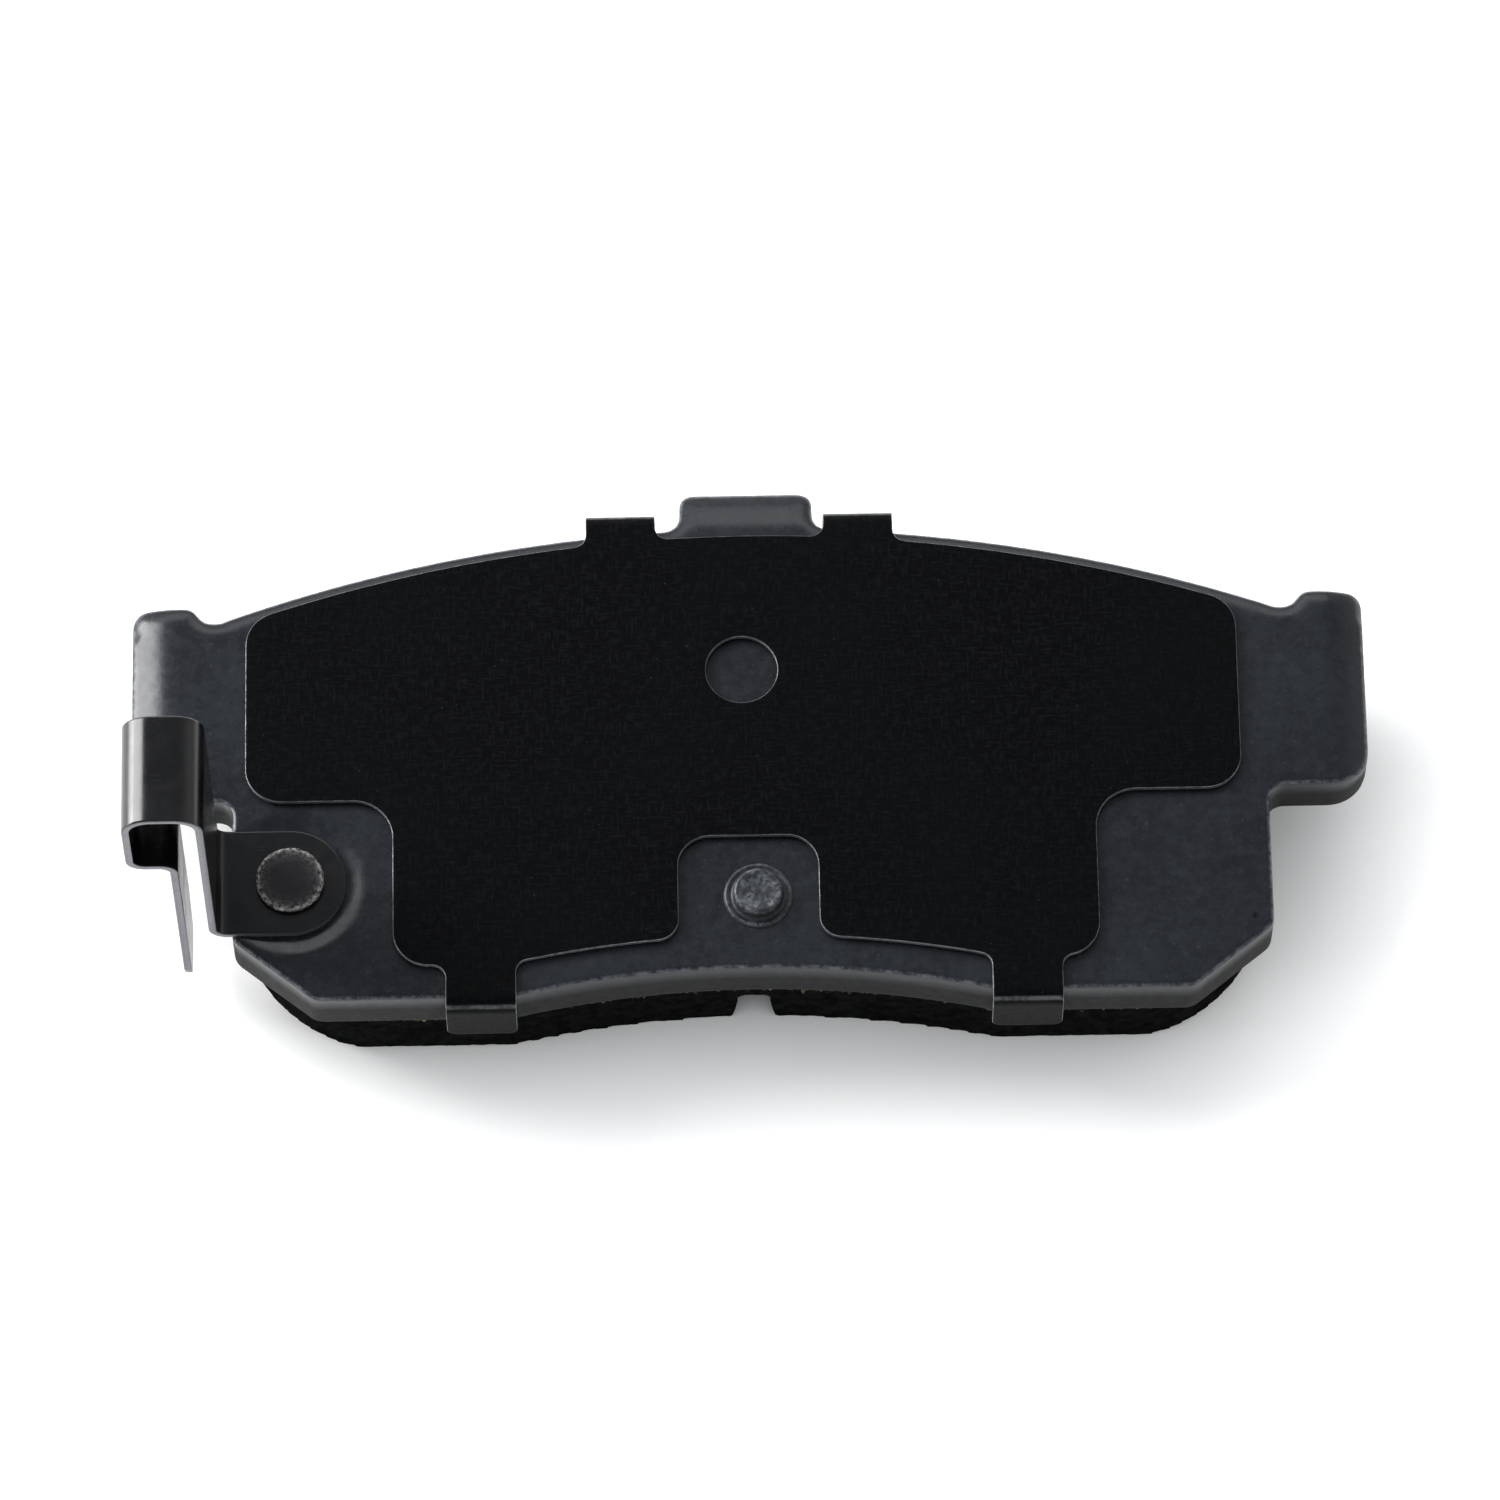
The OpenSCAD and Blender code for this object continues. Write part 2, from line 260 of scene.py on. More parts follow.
class Solid:
    """Points with their wear and tone, and faces, gathered before they become a mesh."""

    def __init__(self):
        self.points = np.zeros((0, 3))
        self.wear = np.zeros(0)
        self.tone = np.zeros(0)
        self.faces = []

    def add(self, points, wear=0.0, tone=0.0):
        """Adds points and returns their numbers."""
        first = len(self.points)
        self.points = np.vstack([self.points, points])
        self.wear = np.concatenate([self.wear, np.broadcast_to(wear, len(points))])
        self.tone = np.concatenate([self.tone, np.broadcast_to(tone, len(points))])
        return np.arange(first, first + len(points))

    def join_rings(self, upper, lower):
        """Faces between two rings, facing outwards where the rings run counterclockwise."""
        after_upper = np.roll(upper, -1)
        after_lower = np.roll(lower, -1)
        self.faces += np.stack([upper, lower, after_lower, after_upper], axis=1).tolist()

    def cap(self, rings, inner, height):
        """Closes a flat face bounded by rings, the first one outermost, over free inner points."""
        ring_points = [self.points[ring][:, :2] for ring in rings]
        keep = within(inner, ring_points[0]) & (distance_to(inner, ring_points[0]) > CAP_MARGIN)
        for hole in ring_points[1:]:
            keep &= ~within(inner, hole) & (distance_to(inner, hole) > CAP_MARGIN)
        inner = inner[keep]
        added = self.add(np.column_stack([inner, np.full(len(inner), height)]))
        numbers = np.concatenate([*rings, added])
        flat = self.points[numbers][:, :2]
        edges = []
        start = 0
        for ring in rings:
            edges += [(start + i, start + (i + 1) % len(ring)) for i in range(len(ring))]
            start += len(ring)
        result = delaunay_2d_cdt([Vector(p) for p in flat.tolist()], edges, [], 0, 1e-7)
        spots, triangles, sources = result[0], result[2], result[3]
        spots = np.array([s[:] for s in spots])
        triangles = np.array(triangles)
        middle = spots[triangles].mean(axis=1)
        keep = within(middle, ring_points[0])
        for hole in ring_points[1:]:
            keep &= ~within(middle, hole)
        for triangle in triangles[keep]:
            if all(sources[i] for i in triangle):
                self.faces.append([int(numbers[sources[i][0]]) for i in triangle])

    def slab(self, outer, holes, rim, upper, lower):
        """A plate with a shaped rim. rim lists (inset, height, wear) from its upper to its lower face;
        upper and lower are the free points of the two faces."""
        tops, bottoms = [], []
        for number, loop in enumerate([outer, *holes]):
            side = 1 if number == 0 else -1
            rings = []
            for inset, height, wear in rim:
                ring = shrink(loop, side * inset)
                rings.append(self.add(np.column_stack([ring, np.full(len(ring), height)]), wear))
            for one, other in zip(rings, rings[1:]):
                self.join_rings(one, other)
            tops.append(rings[0])
            bottoms.append(rings[-1])
        self.cap(tops, upper, rim[0][1])
        self.cap(bottoms, lower, rim[-1][1])

    def lathe(self, profile, centre, count):
        """Turns (radius, height, wear) points round a vertical axis and closes both ends."""
        rings = []
        for radius, height, wear in profile:
            loop = circle(centre, radius, count)
            rings.append(self.add(np.column_stack([loop, np.full(count, height)]), wear))
        for one, other in zip(rings, rings[1:]):
            self.join_rings(one, other)
        self.faces.append(rings[0].tolist())
        self.faces.append(rings[-1].tolist())

    def piece(self, name, sharp):
        """The finished object, in metres, with smooth faces and creases over the sharp angle."""
        mesh = bpy.data.meshes.new(name)
        mesh.from_pydata((self.points / MM).tolist(), [], self.faces)
        mesh.validate()
        for label, values in ((WEAR_AND_HIGHLIGHT, self.wear), (TONE, self.tone)):
            attribute = mesh.attributes.new(label, "FLOAT", "POINT")
            attribute.data.foreach_set("value", values.astype(np.float32))
        shape = bmesh.new()
        shape.from_mesh(mesh)
        bmesh.ops.recalc_face_normals(shape, faces=shape.faces)
        shape.to_mesh(mesh)
        shape.free()
        mesh.shade_smooth()
        mesh.set_sharp_from_angle(angle=math.radians(sharp))
        made = bpy.data.objects.new(name, mesh)
        bpy.context.scene.collection.objects.link(made)
        return made


def lumps(points, size, octaves=3, shift=0.0):
    """Smooth noise from about -1 to 1 at each point, with features of about the given size."""
    return np.array([
        noise.fractal(Vector((p / size + shift).tolist()), 1.0, 2.0, octaves) for p in points
    ])


# ---- backing plate ----

# The edge's radius, and how far in the ears and the outer arc bend down. The arc lies above ARC_FROM.
ROLL = 0.5
EAR_ROLL = 4.6
ARC_ROLL = 1.9
ARC_FROM = 12.5
TONGUE_ROOT = 24.0
TONGUE_TOP = 28.2
TONGUE_HALF = 9
# How far the ears, the tongue and the arc's edge come down.
EAR_DROP = 1.6
TONGUE_DROP = 0.9
ARC_DROP = 0.4
# The coined seat: a round part, and a channel that is a little wider than the strip.
SEAT_R = 7.8
SEAT_DEPTH = back_z - base_low[2]
SEAT_WALL = 2.1
CHANNEL_WALL = 0.9
CHANNEL_PLAY = 0.35
# The depth at which the painted shade on the sheared wall is at its darkest, and how rough the faces are.
WALL_FADE = 2.4
PLATE_WAVE = 0.035
PLATE_GRAIN = 0.03
# The spacing of free points where the back has detail.
FINE = 0.45
STUD_TOP_R = 2.3
STUD_DENTS = 0.07


def plate_rim():
    """The stamped edge: rolled over on the back, torn and slightly burred on the lining's side."""
    rim = [(inset, back_z, 0.0) for inset in (2.2, 1.8, 1.45, 1.15, 0.9, 0.68)]
    for i in range(8):
        angle = math.pi / 2 * i / 7
        inset = ROLL * (1 - math.sin(angle))
        drop = 0.9 * ROLL * (1 - math.cos(angle))
        rim.append((inset, back_z - drop, 0.9 * math.sin(2 * angle) ** 3))
    for height in np.linspace(back_z - ROLL - 0.3, front_z + 0.5, 8):
        rim.append((0.0, height, 0.0))
    rim += [(0.02, front_z + 0.25, 0.3), (0.12, front_z + 0.06, 0.6), (0.3, front_z, 0.2)]
    return rim


def seat_depth(x, y):
    """Depth of the coined seat for the wear indicator's foot."""
    reach = np.hypot(x - rivet_at[0], y - rivet_at[1])
    round_part = smoothstep((SEAT_R - reach) / SEAT_WALL)
    half = strip_w / 2 + CHANNEL_PLAY
    channel = smoothstep((half - np.abs(y - rivet_at[1])) / CHANNEL_WALL) * (x < rivet_at[0])
    return SEAT_DEPTH * np.maximum(round_part, channel)


def plate_top_points():
    """Free points of the plate's back: dense over the seat, its channel and the tongue."""
    seat_rings = [circle(rivet_at, r, 120) for r in np.linspace(SEAT_R - SEAT_WALL, SEAT_R + 0.2, 14)]
    foot = grid_points([plate_low[0], rivet_at[1] - 9], [rivet_at[0] + 9, rivet_at[1] + 9], FINE)
    foot = foot[np.hypot(*(foot - rivet_at).T) < SEAT_R - SEAT_WALL - 0.2]
    channel_x = np.arange(plate_low[0] + 8, rivet_at[0] - 4.5, 0.5)
    channel = [
        np.stack([channel_x, np.full(len(channel_x), rivet_at[1] + side * (strip_w / 2 + off))], axis=1)
        for side in (-1, 1) for off in np.linspace(-0.3, 0.5, 7)
    ]
    field = grid_points(plate_low[:2], plate_high[:2], 1.1)
    field = field[np.hypot(*(field - rivet_at).T) > SEAT_R + 0.6]
    field = field[(field[:, 0] > rivet_at[0]) | (np.abs(field[:, 1] - rivet_at[1]) > strip_w / 2 + 0.9)]
    tongue = grid_points([-8, TONGUE_ROOT - 1], [8, TONGUE_TOP], FINE)
    return np.concatenate([*seat_rings, foot, *channel, field, tongue])


def edge_drop(x, y, edge):
    """How far the back comes down at the ears, the tongue and the outer arc. edge is the distance
    from the outline."""
    ear = np.clip(1 - (plate_high[0] - np.abs(x)) / EAR_ROLL, 0, 1) ** 2 * EAR_DROP
    up_tongue = np.clip((y - TONGUE_ROOT) / (TONGUE_TOP - TONGUE_ROOT), 0, 1) ** 1.3
    tongue = up_tongue * (np.abs(x) < TONGUE_HALF) * TONGUE_DROP
    arc = np.clip(1 - edge / ARC_ROLL, 0, 1) ** 2 * ARC_DROP * smoothstep((y - ARC_FROM) / 1.5)
    return ear + tongue + arc


def make_plate():
    """The backing plate, with its seat for the wear indicator, rolled rims and rough sheared walls."""
    outer = face_outlines("backing_plate", front_z)[0]
    outer = relax(resample(outer, 0.3), 3)
    plate = Solid()
    plate.slab(outer, [], plate_rim(), plate_top_points(), grid_points(plate_low[:2], plate_high[:2], 2.5))
    x, y, z = plate.points.T
    # Painted shade: the tone darkens the sheared wall towards its lower edge.
    plate.tone[:] = np.clip((back_z - ROLL - z) / WALL_FADE, 0, 1) * (z > front_z + 0.1)
    share = np.clip((z - front_z) / (back_z - front_z), 0, 1) ** 2
    z -= share * edge_drop(x, y, distance_to(plate.points[:, :2], outer))
    z -= seat_depth(x, y) * (z > back_z - 1.2) * share
    z += lumps(plate.points, 9.0, 2) * PLATE_WAVE * (z > back_z - 1.5)
    wall = np.abs(z - (front_z + back_z) / 2) < 2.9
    rough = np.abs(lumps(plate.points * [1, 1, 0.35], 1.6, 3, 5.0)) * PLATE_GRAIN * wall
    outwards = np.stack([x, y * 2], axis=1)
    outwards /= np.maximum(np.linalg.norm(outwards, axis=1, keepdims=True), 1e-6)
    plate.points[:, :2] -= outwards * rough[:, None]
    return plate.piece("plate", 35)


def make_stud():
    """The locating stud, extruded from the plate: a peened top, then the wall, then the collar.
    The profile lists (radius, rise above the plate, wear)."""
    top = [(0.6, 1.36, 0.5), (1.3, 1.38, 0.55), (1.85, 1.42, 0.75), (2.12, 1.48, 1.0), (2.3, 1.44, 1.0)]
    wall = [(2.44, 1.26, 0.6), (2.48, 0.95, 0.15), (2.5, 0.5, 0.05), (2.58, 0.27, 0.0)]
    collar = [(2.78, 0.21, 0.0), (2.95, 0.26, 0.1), (3.12, 0.34, 0.3), (3.26, 0.34, 0.5),
              (3.38, 0.22, 0.4), (3.46, 0.08, 0.2), (3.49, -0.05, 0.0), (3.49, -0.3, 0.0)]
    stud = Solid()
    stud.lathe([(r, back_z + rise, wear) for r, rise, wear in top + wall + collar], stud_at, 120)
    reach = np.hypot(*(stud.points[:, :2] - stud_at).T)
    stud.points[:, 2] += np.where(reach < STUD_TOP_R, lumps(stud.points, 0.9, 3) * STUD_DENTS, 0)
    return stud.piece("locating_stud", 60)


# ---- shim ----

# The four tabs: two on the inner edge, two beside the tongue, which sit a little to one side.
TAB_W = 7.0
LOW_TAB_X = 27.1
HIGH_TAB_X = 12.0
SHIM_SHIFT = -0.7
TAB_BEND = 0.8
TAB_CORNER = 1.0
TAB_ROOT = 1.3
# The rubber's edge lies this far inside the steel's.
RUBBER_INSET = 0.15
# The painted highlight along each fold, kept with the wear: how strong, how far past the fold's start, and
# how wide.
FOLD_HIGHLIGHT = 0.52
FOLD_HIGHLIGHT_AT = 0.9
FOLD_HIGHLIGHT_SPREAD = 0.4
SHIM_WAVE = 0.02
LIP = 0.11


def fold_length():
    """Length of a tab past the start of its fold, measured along the sheet's middle."""
    middle = TAB_BEND + shim_t / 2
    straight = shim_high[2] - (TAB_BEND + shim_t) - shim_low[2]
    return middle * math.pi / 2 + straight


def add_tab(loop, centre, end_y):
    """Lets a tab hang from the lower side of a flat outline, with round roots and corners."""
    half = TAB_W / 2
    lower = loop[:, 1] < 0
    cut = lower & (np.abs(loop[:, 0] - centre) < half + TAB_ROOT)
    first = int(np.argmax(cut & ~np.roll(cut, 1)))
    loop = np.roll(loop, -first, axis=0)
    count = int(cut.sum())
    left, right = loop[0], loop[count - 1]
    angle = np.linspace(0, math.pi / 2, 9)
    sine = np.sin(angle)
    cosine = np.cos(angle)
    tab = [
        np.stack([centre - half - TAB_ROOT * (1 - sine), left[1] - TAB_ROOT * (1 - cosine)], axis=1),
        np.stack([centre - half + TAB_CORNER * (1 - cosine), end_y + TAB_CORNER * (1 - sine)], axis=1),
        np.stack([centre + half - TAB_CORNER * (1 - sine), end_y + TAB_CORNER * (1 - cosine)], axis=1),
        np.stack([centre + half + TAB_ROOT * (1 - cosine), right[1] - TAB_ROOT * (1 - sine)], axis=1),
    ]
    return np.concatenate([*tab, loop[count:]])


def fold_down(points, line, side):
    """Folds what lies past a line across Y down through a right angle. side is -1 for the lower edge."""
    x, y, z = points.T
    middle_z = shim_high[2] - shim_t / 2
    middle = TAB_BEND + shim_t / 2
    past = side * (y - line)
    angle = np.clip(past / middle, 0, math.pi / 2)
    radius = middle + (z - middle_z)
    drop = np.maximum(past - middle * math.pi / 2, 0)
    folded_y = line + side * radius * np.sin(angle)
    folded_z = middle_z - middle + radius * np.cos(angle) - drop
    return np.stack([x, np.where(past > 0, folded_y, y), np.where(past > 0, folded_z, z)], axis=1)


def sheet_rim(upper, lower, lip, wear):
    """The rim of a cut sheet: small rounded lips and a straight sheared wall."""
    soft, middle, full = wear
    return [
        (lip * 1.6, upper, 0.0), (lip, upper - lip * 0.02, soft * 0.5),
        (lip * 0.45, upper - lip * 0.18, soft), (lip * 0.1, upper - lip * 0.6, middle),
        (0.0, upper - lip * 1.2, full),
        (0.0, (upper + lower) / 2, full * 0.8), (0.0, lower + lip * 1.2, full * 0.6),
        (lip * 0.15, lower + lip * 0.5, middle * 0.5), (lip * 0.8, lower, 0.2), (lip * 1.6, lower, 0.0),
    ]


def shim_blank(low_line, high_line):
    """The shim's flat outline, with its tabs unfolded."""
    outer = face_outlines("shim_rubber_layer", rubber_high[2])[0]
    outer = shrink(resample(outer, 0.3), -RUBBER_INSET, soften=0.02)
    for side in (-1, 1):
        outer = add_tab(outer, side * LOW_TAB_X, low_line - fold_length())
    outer = -outer
    for side in (-1, 1):
        outer = add_tab(outer, -(SHIM_SHIFT + side * HIGH_TAB_X), -(high_line + fold_length()))
    return relax(resample(-outer, 0.2), 1)


def shim_points(low_line, high_line):
    """Free points of the shim's faces: dense where the tabs fold."""
    field = grid_points(shim_low[:2], shim_high[:2], 1.3)
    field = field[(field[:, 1] > low_line) & (field[:, 1] < high_line)]
    across = np.arange(-TAB_W / 2 + 0.4, TAB_W / 2 - 0.3, 0.5)
    down = np.concatenate([np.arange(0.02, 2.0, 0.16), np.arange(2.2, fold_length() - 0.2, 0.6)])
    tabs = []
    for x, line, side in (
        (-LOW_TAB_X, low_line, -1), (LOW_TAB_X, low_line, -1),
        (SHIM_SHIFT - HIGH_TAB_X, high_line, 1), (SHIM_SHIFT + HIGH_TAB_X, high_line, 1),
    ):
        tabs.append(np.array([[x + a, line + side * d] for a in across for d in down]))
    return np.concatenate([field, *tabs])


def make_shim():
    """The shim's steel sheet: cut flat, then its tabs folded down over the plate's edges."""
    fold_outer = TAB_BEND + shim_t
    low_line = shim_low[1] + fold_outer
    high_line = shim_high[1] - fold_outer
    window = face_outlines("shim_rubber_layer", rubber_high[2])[1]
    window = circle(window.mean(axis=0), np.ptp(window[:, 0]) / 2 - RUBBER_INSET, 110)
    free = shim_points(low_line, high_line)
    rim = sheet_rim(shim_high[2], rubber_high[2], LIP, (0.55, 0.85, 1.0))
    shim = Solid()
    shim.slab(shim_blank(low_line, high_line), [window], rim, free, free)
    # Painted highlight: a band along each fold, stored with the edge wear.
    past = np.maximum(low_line - shim.points[:, 1], shim.points[:, 1] - high_line)
    fold = np.exp(-((past - FOLD_HIGHLIGHT_AT) / FOLD_HIGHLIGHT_SPREAD) ** 2)
    shim.wear = np.maximum(shim.wear, FOLD_HIGHLIGHT * fold)
    shim.points = fold_down(shim.points, low_line, -1)
    shim.points = fold_down(shim.points, high_line, 1)
    flat = shim.points[:, 2] > rubber_high[2] - 0.05
    wave = lumps(shim.points * [1, 1, 0], 16.0, 2, 3.0)
    shim.points[:, 2] += np.where(flat, (wave - 1) * SHIM_WAVE, 0)
    return shim.piece("shim", 40)


# ---- wear indicator ----

# The strip's thickness and inside bend radii, then its run over the hoop, back in and down the finger.
STRIP_T = 0.8
BEND_IN = 1.1
HOOP_BEND_IN = 2.2
TURN_STEPS = 24
HOOP_W = 8.0
HOOP_DROP = 12.2
FINGER_GAP = 2.2
FINGER_W = 6.4
FINGER_TIP_W = 4.8
# The strip narrows to the finger's width before this move.
STEP_MOVE = 9
STRIP_LIP = 0.13
STRIP_HOLE_R = 2.45
HEAD_R = 3.38
SHANK_R = 2.35
HEAD_RAGGED = 0.09
HEAD_WAVE = 0.03
hoop_wall_x = spring_low[0] + HOOP_W - STRIP_T


def strip_moves():
    """The strip's middle line from the rivet to the finger's tip: straights and quarter turns.
    Each move is a length and no angle, or a radius and an angle."""
    tight = BEND_IN + STRIP_T / 2
    wide = HOOP_BEND_IN + STRIP_T / 2
    foot_z = base_low[2] + STRIP_T / 2
    wall_x = hoop_wall_x + STRIP_T / 2
    top_z = spring_high[2] - STRIP_T / 2
    hoop_x = spring_low[0] + STRIP_T / 2
    finger_x = hoop_wall_x - FINGER_GAP - STRIP_T / 2
    flange_z = spring_high[2] - HOOP_DROP + STRIP_T / 2
    quarter = math.pi / 2
    return [
        ((rivet_at[0] + strip_w / 2) - (wall_x + tight), 0),
        (tight, -quarter),
        ((top_z - wide) - (foot_z + tight), 0),
        (wide, quarter),
        ((wall_x - wide) - (hoop_x + wide), 0),
        (wide, quarter),
        ((top_z - wide) - (flange_z + tight), 0),
        (tight, quarter),
        ((finger_x - tight) - (hoop_x + tight), 0),
        (tight, -quarter),
        ((flange_z - tight) - spring_low[2], 0),
    ]


def walk(moves, start, heading):
    """Samples a path of straights and turns: distance, x, z and heading."""
    x, z = start
    run = 0.0
    samples = [(run, x, z, heading)]
    for (_, angle), length in zip(moves, move_lengths(moves)):
        steps = TURN_STEPS if angle else 2
        for _ in range(steps):
            heading += angle / steps / 2
            x += length / steps * math.cos(heading)
            z += length / steps * math.sin(heading)
            heading += angle / steps / 2
            run += length / steps
            samples.append((run, x, z, heading))
    return np.array(samples)


def move_lengths(moves):
    return [size * abs(angle) if angle else size for size, angle in moves]


def strip_blank(lengths):
    """The strip's flat outline along its length: a round foot, the hoop's width, the narrower finger."""
    step_at = sum(lengths[:STEP_MOVE])
    end = sum(lengths)
    half = strip_w / 2
    low = -half
    edge_in = (FINGER_W - FINGER_TIP_W) / 3
    return resample(rounded([
        (0.0, low, half - 0.01), (end - 2, low, 1.5), (end, low + edge_in, 0.6),
        (end, low + edge_in + FINGER_TIP_W, 0.9), (end - 9, low + FINGER_W, 3.0),
        (step_at, low + FINGER_W, 1.2), (step_at, half, 1.1), (0.0, half, half - 0.01),
    ]), 0.2)


def strip_points(moves, lengths):
    """Free points of the strip's faces: rows across it, close together in the bends."""
    stations = [0.0]
    for (_, angle), length in zip(moves, lengths):
        gap = 0.2 if angle else 0.7
        count = max(1, round(length / gap))
        stations += [stations[-1] + length / count * (i + 1) for i in range(count)]
    across = np.arange(-strip_w / 2 + 0.45, strip_w / 2 - 0.2, 0.55)
    return np.array([[s, v] for s in stations for v in across])


def make_indicator():
    """The wear indicator: one strip, cut flat and bent along its path."""
    moves = strip_moves()
    lengths = move_lengths(moves)
    path = walk(moves, (rivet_at[0] + strip_w / 2, base_low[2] + STRIP_T / 2), math.pi)
    hole = circle((strip_w / 2, 0.0), STRIP_HOLE_R, 60)
    free = strip_points(moves, lengths)
    rim = sheet_rim(STRIP_T / 2, -STRIP_T / 2, STRIP_LIP, (0.3, 0.8, 1.0))
    strip = Solid()
    strip.slab(strip_blank(lengths), [hole], rim, free, free)
    run, side, off = strip.points.T
    x = np.interp(run, path[:, 0], path[:, 1])
    z = np.interp(run, path[:, 0], path[:, 2])
    heading = np.interp(run, path[:, 0], path[:, 3])
    strip.points = np.stack(
        [x - off * np.sin(heading), rivet_at[1] + side, z + off * np.cos(heading)], axis=1)
    return strip.piece("wear_indicator", 45)


def make_rivet():
    """The formed head: a low disc with a ragged, hammered rim, on its shank."""
    top = rivet_high[2]
    low = base_low[2] + STRIP_T
    radius = HEAD_R
    profile = [
        (0.7, top - 0.12, 0.0), (1.6, top - 0.1, 0.0), (2.4, top - 0.07, 0.05),
        (radius - 0.42, top - 0.04, 0.2), (radius - 0.25, top, 0.75), (radius - 0.1, top - 0.06, 1.0),
        (radius, top - 0.2, 0.8), (radius + 0.04, top - 0.42, 0.3), (radius - 0.05, low + 0.15, 0.1),
        (radius - 0.2, low + 0.01, 0.0), (SHANK_R, low - 0.05, 0.0), (SHANK_R, back_z - 3.0, 0.0),
    ]
    rivet = Solid()
    rivet.lathe(profile, rivet_at, 132)
    off = rivet.points[:, :2] - rivet_at
    reach = np.hypot(*off.T)
    ragged = lumps(rivet.points, 0.55, 3, 7.0)
    rim = smoothstep((reach - 2.7) / 0.5) * (rivet.points[:, 2] > low)
    rivet.points[:, :2] += off / np.maximum(reach, 0.1)[:, None] * (ragged * HEAD_RAGGED * rim)[:, None]
    rivet.points[:, 2] -= np.abs(ragged) * 0.1 * rim * (rivet.points[:, 2] > low + 0.3)
    top_face = (reach < 2.9) * (rivet.points[:, 2] > low)
    rivet.points[:, 2] += lumps(rivet.points, 1.7, 2) * HEAD_WAVE * top_face - 0.02
    return rivet.piece("rivet_head", 50)


# ---- underlayer ----

UNDER_HALF_W = 52
UNDER_HALF_H = 25
CRUMBLE = 0.42
GRANULES = 1100
# A granule's smallest radius, and how much larger the largest are.
GRANULE_R = (0.1, 0.24)


def under_layer(outer, under_top):
    """The layer itself, with a rough, crumbling rim."""
    rim = [(0.25, under_top, 0.2)]
    for height in np.linspace(under_top - 0.05, under_low[2] + 0.05, 8):
        rim.append((0.1, height, 0.5))
    rim.append((0.3, under_low[2], 0.3))
    layer = Solid()
    free = grid_points(under_low[:2], under_high[:2], 6)
    layer.slab(outer, [], rim, free, free)
    x, y = layer.points.T[:2]
    edge = distance_to(layer.points[:, :2], outer) < 0.6
    rough = lumps(layer.points, 0.5, 4, 2.0)
    out = np.stack([x / UNDER_HALF_W, y / UNDER_HALF_H], axis=1)
    out /= np.maximum(np.linalg.norm(out, axis=1, keepdims=True), 1e-6)
    layer.points[:, :2] += out * (rough * CRUMBLE * edge)[:, None]
    layer.tone[:] = np.clip(rough * 0.5 + 0.4, 0, 1)
    return layer


def unit_ball():
    """The points and faces of a small icosphere."""
    ball = bmesh.new()
    bmesh.ops.create_icosphere(ball, subdivisions=1, radius=1.0)
    points = np.array([v.co[:] for v in ball.verts])
    faces = [[v.index for v in f.verts] for f in ball.faces]
    ball.free()
    return points, faces


def make_underlayer():
    """The coarse layer under the lining, with granules stuck along its rim."""
    source = random.Random(11)
    outer = resample(face_outlines("underlayer", lining_high[2])[0], 0.22)
    under_top = bond_low[2]
    layer = under_layer(outer, under_top)
    ball_points, ball_faces = unit_ball()
    smallest, spread = GRANULE_R
    inward = normals(outer)
    for _ in range(GRANULES):
        i = source.randrange(len(outer))
        radius = smallest + spread * source.random() ** 2.2
        sink = source.uniform(-0.12, 0.3)
        spot = outer[i] + inward[i] * sink
        height = source.uniform(under_low[2] + 0.02, under_top + 0.02)
        stretch = np.array([source.uniform(0.7, 1.4) for _ in range(3)]) * radius
        spin = np.array(Matrix.Rotation(source.uniform(0, 6.28), 3, "Z"))
        tilt = np.array(Matrix.Rotation(source.uniform(0, 6.28), 3, "X"))
        dents = np.array([source.uniform(0.75, 1.15) for _ in ball_points])[:, None]
        grain = (ball_points * dents * stretch) @ spin @ tilt + [*spot, height]
        tone = source.random()
        numbers = layer.add(grain, 0.0, tone)
        layer.faces += [[int(numbers[k]) for k in f] for f in ball_faces]
    return layer.piece("underlayer_granules", 30)


# ---- lining ----

VOXEL = 0.38
CHAMFER_X = 40.6
# The depth of the grain, of the wear along every lower edge, and of the deepest chips in it.
GRAIN = 0.045
EDGE_LOSS = 0.1
CHIP_DEPTH = 0.34
CHIPPED_BELOW = 4
# The slot's mouth: how high it starts, how far each wall leans out, and where that fades away.
MOUTH_H = 4.2
MOUTH_OUT = 0.52
MOUTH_REACH = 3.4
MOUTH_FADE = 1.8


def fine_block():
    """The CAD friction block in millimetres, remeshed finely and evenly."""
    mesh = bpy.data.meshes.new("lining_start")
    shape = bmesh.new()
    shape.from_mesh(frame["nodes"]["friction_block"].data)
    bmesh.ops.scale(shape, vec=(MM, MM, MM), verts=shape.verts)
    bmesh.ops.remove_doubles(shape, verts=shape.verts, dist=WELD)
    shape.to_mesh(mesh)
    shape.free()
    start = bpy.data.objects.new("lining_start", mesh)
    bpy.context.scene.collection.objects.link(start)
    even = start.modifiers.new("even", "REMESH")
    even.mode = "VOXEL"
    even.voxel_size = VOXEL
    bpy.context.view_layer.update()
    ready = start.evaluated_get(bpy.context.evaluated_depsgraph_get())
    fine = bpy.data.meshes.new_from_object(ready)
    bpy.data.objects.remove(start)
    return fine


def vertex_vectors(mesh, name):
    """One vector attribute of every vertex, as rows."""
    values = np.zeros(len(mesh.vertices) * 3)
    mesh.vertices.foreach_get(name, values)
    return values.reshape(-1, 3)


